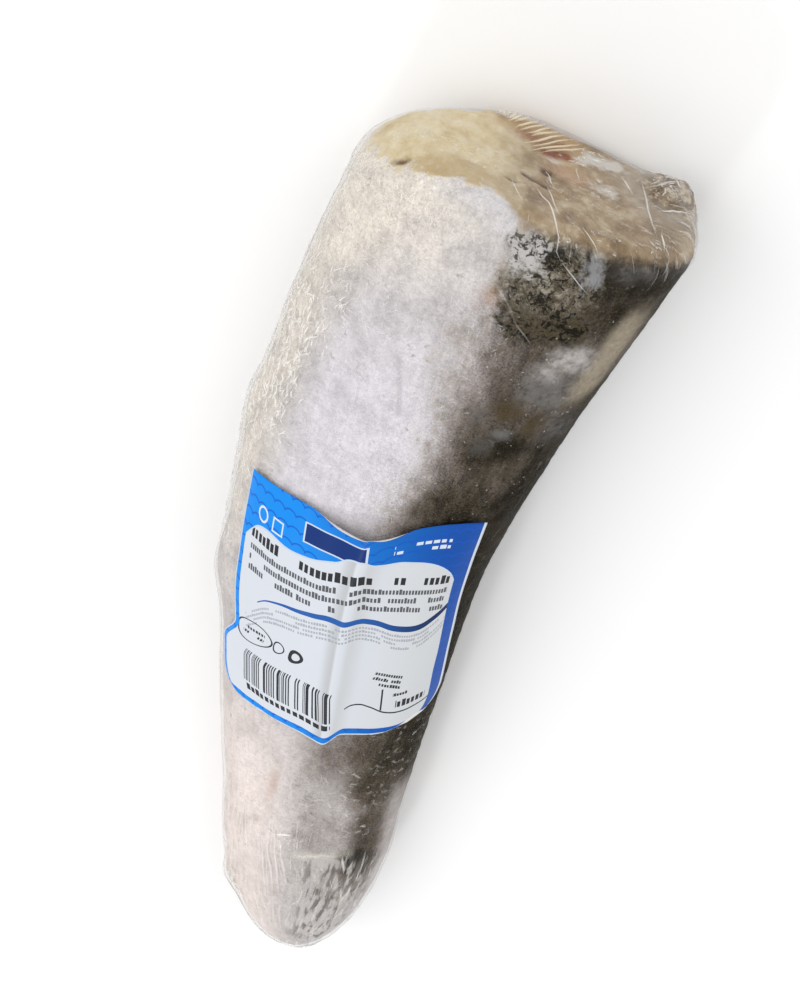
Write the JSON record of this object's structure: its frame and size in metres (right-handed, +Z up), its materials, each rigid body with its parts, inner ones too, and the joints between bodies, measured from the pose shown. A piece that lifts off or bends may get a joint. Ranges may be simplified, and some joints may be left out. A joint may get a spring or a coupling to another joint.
{
  "type": "wrapped frozen hake",
  "caption": "Frozen headless and tailless hake trunk, frosted, tightly wrapped in clear film with a paper label, lying on its flank.",
  "frame": {"origin": "under the middle of the whole object, on the surface that it lies on", "axes": "+Y along the fish towards its head cut, +X towards its back, +Z up out of its upper flank"},
  "size_m": [0.0764, 0.2126, 0.0465],
  "materials": {
    "frosted_fish_in_film": "frosted fish skin under shiny clear film",
    "label_paper": "white coated paper with blue print"
  },
  "bodies": {
    "root": {"wrapped_hake": "frosted_fish_in_film", "label": "label_paper"}
  },
  "joints": []
}
